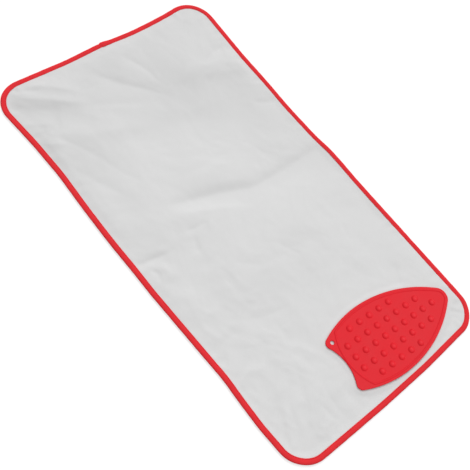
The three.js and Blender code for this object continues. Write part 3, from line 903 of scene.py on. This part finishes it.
# %% [markdown]
# The sheet is cut into cells first, one for each stud, so that every join works on a small face and the
# faces that it leaves are well shaped. After the join, points that fell together are merged, and faces
# with many sides are split into triangles, so that nothing is left to chance when the mesh is rendered.

# %% Cut the sheet into cells
CUTS_ACROSS = [(column + 0.5) * PITCH_ACROSS for column in range(-2, 2)]
CUTS_ALONG = [(row + 0.5) * PITCH_ALONG + STUD_SHIFT for row in range(-5, 5)]


def cut_flat(piece, place, normal):
    """Cuts the faces of a piece along a plane, and keeps both sides."""
    edit(piece)
    bpy.ops.mesh.bisect(plane_co=place, plane_no=normal, use_fill=False)
    leave_edit()


for cut in CUTS_ACROSS:
    cut_flat(rest, (cut, 0, 0), (1, 0, 0))
for cut in CUTS_ALONG:
    cut_flat(rest, (0, cut, 0), (0, 1, 0))
print("sheet cut into", len(rest.data.polygons), "faces")

# %% Copy the stud and join the moulding
SMOOTH_TO, NORMAL_WEIGHT = math.radians(40), 60
STUD_TURN = math.radians(1.7)  # each copy is turned a little, so that no three points of a row line up

studs = []
for column, rows in STUD_ROWS.items():
    for row in rows:
        take(stud)
        bpy.ops.object.duplicate(linked=False)
        bpy.context.object.location = (column * PITCH_ACROSS, row * PITCH_ALONG + STUD_SHIFT, 0)
        bpy.context.object.rotation_euler.z = len(studs) * STUD_TURN
        bpy.ops.object.transform_apply(location=True, rotation=True, scale=True)
        studs.append(bpy.context.object)
bpy.data.objects.remove(stud)
take(lip)
for copy in studs:
    copy.select_set(True)
bpy.ops.object.join()
cut_with(rest, lip, "UNION")
edit(rest)
bpy.ops.mesh.remove_doubles(threshold=MERGE_DISTANCE)
leave_edit()
bpy.ops.object.shade_smooth_by_angle(angle=SMOOTH_TO)
shape_with(rest, "WEIGHTED_NORMAL", mode="FACE_AREA", weight=NORMAL_WEIGHT, keep_sharp=True)
shape_with(rest, "TRIANGULATE", min_vertices=5, ngon_method="BEAUTY", keep_custom_normals=True)
rest.rotation_euler.z = REST_TURN
rest.location = (*REST_PLACE, 0)
take(rest)
bpy.ops.object.transform_apply(location=True, rotation=True, scale=True)
print("iron rest with", len(studs), "studs:", len(rest.data.polygons), "faces")

# %% [markdown]
# ## Finishes
# Every finish is built from nodes on Object coordinates, in metres, or on the tape's own UV map, which
# also is in metres. Each slot of the record has one colour as its middle, in linear values, without the
# shine that the lamps add. Patterns of a known size use a Wave texture, whose bands repeat every
# pi / (10 * scale).

# %% Colours and new finishes
slot_colours = {
    "silver_cloth": (0.677, 0.677, 0.677),
    "felt_wadding": (0.84, 0.82, 0.77),
    "backing_cotton": (0.62, 0.60, 0.57),
    "binding_tape": (0.76, 0.03, 0.038),
    "seam_thread": (0.58, 0.02, 0.026),
    "red_silicone": (0.74, 0.012, 0.022),
}


def finish(slot, roughness, **values):
    """A new finish for a slot of the record, with constant values on the shader itself."""
    made = bpy.data.materials.new(slot + "_finish")
    made.use_nodes = True
    shader = made.node_tree.nodes["Principled BSDF"]
    shader.inputs["Base Color"].default_value = (*slot_colours[slot], 1)
    shader.inputs["Roughness"].default_value = roughness
    for name, value in values.items():
        shader.inputs[name.replace("_", " ")].default_value = value
    return made


def coat(piece, made):
    """Gives a piece one finish."""
    piece.data.materials.clear()
    piece.data.materials.append(made)


print("slots", ", ".join(slot_colours))


# %% Nodes and patterns
def node(made, kind, vector=None, settings=None, **values):
    """A node in a finish, with its settings, its values and what feeds its vector."""
    new = made.node_tree.nodes.new("ShaderNode" + kind)
    for name, value in (settings or {}).items():
        setattr(new, name, value)
    for name, value in values.items():
        new.inputs[name.replace("_", " ")].default_value = value
    if vector is not None:
        made.node_tree.links.new(vector, new.inputs["Vector"])
    return new


def link(made, source, target):
    """Feeds a socket of a finish from another."""
    made.node_tree.links.new(source, target)


def bands(made, vector, pitch, direction, **values):
    """A Wave texture whose bands repeat at a pitch in metres."""
    scale, settings = math.pi / (10 * pitch), {"bands_direction": direction}
    return node(made, "TexWave", vector, settings, Scale=scale, **values).outputs["Fac"]


def noise(made, vector, **values):
    """A Noise texture from 0 to 1."""
    return node(made, "TexNoise", vector, **values).outputs["Fac"]


def spot_on(made, kind="Object"):
    """Where a point is on its piece, in metres or on the UV map."""
    return node(made, "TexCoord").outputs[kind]


def mixed(made, first, second, operation="ADD"):
    """Two values put together by a Math node."""
    new = node(made, "Math", settings={"operation": operation})
    for source, target in ((first, new.inputs[0]), (second, new.inputs[1])):
        if isinstance(source, (int, float)):
            target.default_value = source
        else:
            link(made, source, target)
    return new.outputs[0]


def part_of(made, source, share):
    """A share of a value."""
    return mixed(made, source, share, "MULTIPLY")


def ranged(made, value, settings=None, **values):
    """A value that is brought from one range to another, each from 0 to 1 where it isn't given."""
    new = node(made, "MapRange", settings=settings, **values)
    link(made, value, new.inputs["Value"])
    return new.outputs["Result"]


def plain_weave(made, vector, pitch, **values):
    """Threads that cross at a pitch in metres."""
    warp, weft = (bands(made, vector, pitch, way, **values) for way in "XY")
    return mixed(made, warp, weft, "MAXIMUM")


print("patterns are waves and noise")


# %% Tone, roughness and relief
def feed(made, source, name):
    """Feeds a socket of the shader itself."""
    link(made, source, made.node_tree.nodes["Principled BSDF"].inputs[name])


def tinted(made, factor, slot, low, high):
    """The slot's colour, from low to high times its brightness as the factor goes from 0 to 1."""
    ramp = node(made, "ValToRGB")
    for stop, level in zip(ramp.color_ramp.elements, (low, high)):
        stop.color = (*(level * c for c in slot_colours[slot]), 1)
    link(made, factor, ramp.inputs["Fac"])
    feed(made, ramp.outputs["Color"], "Base Color")


def roughened(made, factor, low, high):
    """Roughness from low to high as the factor goes from 0 to 1."""
    feed(made, ranged(made, factor, To_Min=low, To_Max=high), "Roughness")


def bumped(made, height, depth, strength):
    """Relief of a depth in metres from a height of 0 to 1."""
    relief = node(made, "Bump", Strength=strength, Distance=depth)
    link(made, height, relief.inputs["Height"])
    feed(made, relief.outputs["Normal"], "Normal")


print("finishes have a tone, a roughness and a relief")

# %% [markdown]
# The face is cotton coated with a fine metal powder: a light neutral grey with a dull sheen. Its weave
# is close and plain, with threads of half a millimetre. The coating is a little cloudy. Painted shade
# makes its colour a little darker towards the far end and the far side, as if the light fell off there.
# The metal is too fine to mirror anything, so a small metallic share and a middling roughness stand for it.

# %% Silver cloth
CLOTH_PITCH = 0.55 * MM
# Painted shade: the face's colour is darker towards the far end and the far side, as if the light fell off
# there.
PAINTED_SHADE_FROM, PAINTED_SHADE_TO, PAINTED_SHADE_ASKEW = -0.3, -0.1, -0.21  # along the mat, and the slant of the border of the painted shade
SHADED_TONE, LIT_TONE = -0.22, 0.28

silver = finish("silver_cloth", roughness=0.7, Metallic=0.03, Specular_IOR_Level=0.12)
spot_on_mat = spot_on(silver)
weave = plain_weave(silver, spot_on_mat, CLOTH_PITCH, Distortion=0.6, Detail=1)
clouds = noise(silver, spot_on_mat, Scale=14, Detail=4, Roughness=0.55)
specks = noise(silver, spot_on_mat, Scale=420, Detail=2)
place = node(silver, "SeparateXYZ", spot_on_mat)
askew = ranged(silver, place.outputs["Y"], From_Max=HALF_WIDTH, To_Max=PAINTED_SHADE_ASKEW)
# The painted shade across the mat: darker at the far end and the far side, lighter elsewhere.
painted_falloff = ranged(silver, mixed(silver, place.outputs["X"], askew), {"interpolation_type": "SMOOTHSTEP"},
              From_Min=PAINTED_SHADE_FROM, From_Max=PAINTED_SHADE_TO, To_Min=SHADED_TONE, To_Max=LIT_TONE)
mottle = mixed(silver, part_of(silver, clouds, 0.5), part_of(silver, specks, 0.3))
tinted(silver, mixed(silver, mottle, painted_falloff), "silver_cloth", low=0.955, high=1.045)
roughened(silver, clouds, low=0.66, high=0.76)
bumped(silver, mixed(silver, weave, part_of(silver, specks, 0.6)), depth=0.06 * MM, strength=0.5)
coat(face, silver)
print("silver cloth on", face.name)

# %% [markdown]
# The felt and the backing are seen only from the side or below, but they have their own finish: felt is
# a mass of short fibres, so it is noise with fine detail; the backing is undyed cotton, woven plain.

# %% Felt and backing cotton
COTTON_PITCH = 0.7 * MM

felt = finish("felt_wadding", roughness=0.95, Sheen_Weight=0.2)
fibres = noise(felt, spot_on(felt), Scale=900, Detail=5, Roughness=0.7)
tinted(felt, fibres, "felt_wadding", low=0.86, high=1.1)
bumped(felt, fibres, depth=0.4 * MM, strength=0.7)
coat(wadding, felt)

cotton = finish("backing_cotton", roughness=0.9, Sheen_Weight=0.1)
spot_below = spot_on(cotton)
cotton_weave = plain_weave(cotton, spot_below, COTTON_PITCH, Distortion=0.8)
slubs = noise(cotton, spot_below, Scale=160, Detail=3)
cotton_tone = mixed(cotton, part_of(cotton, cotton_weave, 0.4), part_of(cotton, slubs, 0.6))
tinted(cotton, cotton_tone, "backing_cotton", low=0.84, high=1.12)
bumped(cotton, cotton_weave, depth=0.1 * MM, strength=0.6)
coat(backing, cotton)
print("felt and cotton done")

# %% [markdown]
# The tape is red cotton in a fine twill. The twill must follow the tape round the corners, so it reads
# the tape's UV map, turned by 45 degrees. The thread is a twist of red strands with a little more shine.

# %% Tape and thread
RIB_PITCH, YARN_PITCH = 0.8 * MM, 0.5 * MM

twill = finish("binding_tape", roughness=0.85, Specular_IOR_Level=0.15)
along_tape = spot_on(twill, "UV")
slant = node(twill, "Mapping", along_tape, Rotation=(0, 0, math.radians(45))).outputs["Vector"]
ribs = bands(twill, slant, RIB_PITCH, "X", Distortion=0.4)
yarns = bands(twill, along_tape, YARN_PITCH, "Y", Distortion=0.5)
fading = noise(twill, spot_on(twill), Scale=45, Detail=4)
tape_tone = mixed(twill, part_of(twill, fading, 0.75), part_of(twill, ribs, 0.25))
tinted(twill, tape_tone, "binding_tape", low=0.84, high=1.14)
bumped(twill, mixed(twill, ribs, part_of(twill, yarns, 0.5)), depth=0.09 * MM, strength=0.6)
coat(binding, twill)

thread = finish("seam_thread", roughness=0.7, Specular_IOR_Level=0.25)
strands = noise(thread, spot_on(thread), Scale=2600, Detail=2)
tinted(thread, strands, "seam_thread", low=0.8, high=1.2)
bumped(thread, strands, depth=0.08 * MM, strength=0.6)
for row_of_stitches in (needle_row, bobbin_row):
    coat(row_of_stitches, thread)
print("tape and thread done")

# %% [markdown]
# Silicone rubber from a fine-blasted mould is an even, saturated red with a satin surface. A very fine
# grain breaks the shine, and handling leaves it a little duller in some places than in others. The tops
# of the studs are a little smoother, and a painted highlight makes their colour lighter there.

# %% Red silicone
# The tops of the studs: a painted highlight makes their colour lighter, and the same share makes them
# smoother.
STUD_TOPS_FROM, STUD_TOPS_TO, STUD_TOPS_SHARE = SHEET_TOP + 1.9 * MM, SHEET_TOP + 2.7 * MM, 0.5

rubber = finish("red_silicone", roughness=0.55, Specular_IOR_Level=0.165)
spot_on_rest = spot_on(rubber)
grain = noise(rubber, spot_on_rest, Scale=1500, Detail=2)
handling = noise(rubber, spot_on_rest, Scale=28, Detail=5, Roughness=0.6)
height_of_rest = node(rubber, "SeparateXYZ", spot_on_rest).outputs["Z"]
smooth_tops_and_highlight = ranged(rubber, height_of_rest, From_Min=STUD_TOPS_FROM, From_Max=STUD_TOPS_TO, To_Max=STUD_TOPS_SHARE)
# Painted highlight: the colour is lighter on the tops of the studs.
tinted(rubber, mixed(rubber, handling, smooth_tops_and_highlight), "red_silicone", low=0.93, high=1.07)
roughened(rubber, mixed(rubber, handling, smooth_tops_and_highlight, "SUBTRACT"), low=0.45, high=0.65)
bumped(rubber, grain, depth=0.03 * MM, strength=0.4)
coat(rest, rubber)
print("silicone on", rest.name)

# %% [markdown]
# ## Stand-ins and bodies
# Each new piece takes the place of its CAD solid and rides on its body.

# %% Join the pieces to the frame
for piece, body, solid in ((face, "mat", "face_cloth"), (wadding, "mat", "wadding"),
                           (backing, "mat", "backing_cloth"), (binding, "mat", "edge_binding"),
                           (needle_row, "mat", "needle_thread"), (bobbin_row, "mat", "bobbin_thread"),
                           (rest, "rest", "iron_rest")):
    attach(piece, body)
    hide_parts(solid)

# %% [markdown]
# ## Camera, light and floor
# The camera is where the photograph was taken from: its place and axes were worked out from the four
# sides of the mat. Two wide soft keys come from the far side, one for the mat and one, from further
# round, for the iron rest. Light linking keeps them apart. The world fills in what they leave dark. The
# floor is white to the camera, with enough plain surface in it to take the soft shadow of the mat.

# %% Camera
CAMERA_PLACE, LENS, SENSOR = (0.37631, -0.77393, 1.3522), 64.252, 36
CAMERA_AXES = Matrix((
    (0.63298, -0.74369, 0.21508), (0.73635, 0.49257, -0.46386), (0.23903, 0.45198, 0.8594)))

camera = bpy.data.objects.new("camera", bpy.data.cameras.new("camera"))
bpy.context.scene.collection.objects.link(camera)
camera.matrix_world = Matrix.Translation(CAMERA_PLACE) @ CAMERA_AXES.to_4x4()
camera.data.lens, camera.data.sensor_width = LENS, SENSOR
bpy.context.scene.camera = camera
print("camera", round(camera.location.length, 2), "m from the middle of the mat")

# %% Key lights
MAT_KEY_FROM, MAT_KEY_STRENGTH = Vector((-0.61, 0.79, 0.97)), 1.67
REST_KEY_FROM, REST_KEY_STRENGTH = Vector((0.02, 0.66, 1.02)), 1.38
KEY_SPREAD = math.radians(35)


def soft_key(name, direction, strength, link_state):
    """A wide soft lamp, which light linking keeps off the rest or off all but the rest."""
    lamp = bpy.data.objects.new(name, bpy.data.lights.new(name, "SUN"))
    bpy.context.scene.collection.objects.link(lamp)
    lamp.rotation_euler = direction.to_track_quat("Z", "Y").to_euler()
    lamp.data.energy, lamp.data.angle = strength, KEY_SPREAD
    lit = bpy.data.collections.new(name + "_lights")
    lit.objects.link(rest)
    lit.collection_objects[0].light_linking.link_state = link_state
    lamp.light_linking.receiver_collection = lit


soft_key("mat_key", MAT_KEY_FROM, MAT_KEY_STRENGTH, "EXCLUDE")
soft_key("rest_key", REST_KEY_FROM, REST_KEY_STRENGTH, "INCLUDE")
print("keys of", MAT_KEY_STRENGTH, "for the mat and", REST_KEY_STRENGTH, "for the rest")

# %% World
WORLD_STRENGTH = 0.63


def seen_share(made):
    """1 for what the camera sees, straight or by way of a gloss or a clear piece, and 0 for light."""
    path = node(made, "LightPath")
    total = path.outputs["Is Camera Ray"]
    for name in ("Is Glossy Ray", "Is Transmission Ray"):
        total = mixed(made, total, path.outputs[name], "MAXIMUM")
    return total


world = bpy.data.worlds.new("studio")
bpy.context.scene.world = world
world.use_nodes = True
sky = world.node_tree.nodes["Background"]
sky.inputs["Color"].default_value = (1, 1, 1, 1)
link(world, ranged(world, seen_share(world), To_Min=WORLD_STRENGTH, To_Max=1), sky.inputs["Strength"])
bpy.context.scene.view_settings.view_transform = "Standard"
print("world", WORLD_STRENGTH)

# %% Floor
FLOOR_SIZE, FLOOR_DROP = 30, 0.2 * MM
FLOOR_SURFACE, FLOOR_GLOW = 0.45, 0.62

bpy.ops.object.select_all(action="DESELECT")
bpy.ops.mesh.primitive_plane_add(size=FLOOR_SIZE, location=(0, 0, -FLOOR_DROP))
floor = name_new("floor")
paper = bpy.data.materials.new("white_floor")
paper.use_nodes = True
paper.node_tree.nodes.clear()
plain = node(paper, "BsdfDiffuse", Color=(FLOOR_SURFACE, FLOOR_SURFACE, FLOOR_SURFACE, 1))
glow = node(paper, "Emission")
link(paper, part_of(paper, seen_share(paper), FLOOR_GLOW), glow.inputs["Strength"])
both = node(paper, "AddShader")
for shader, socket in zip((plain, glow), both.inputs):
    link(paper, shader.outputs[0], socket)
link(paper, both.outputs[0], node(paper, "OutputMaterial").inputs["Surface"])
floor.data.materials.append(paper)
print("floor", FLOOR_SIZE, "m")
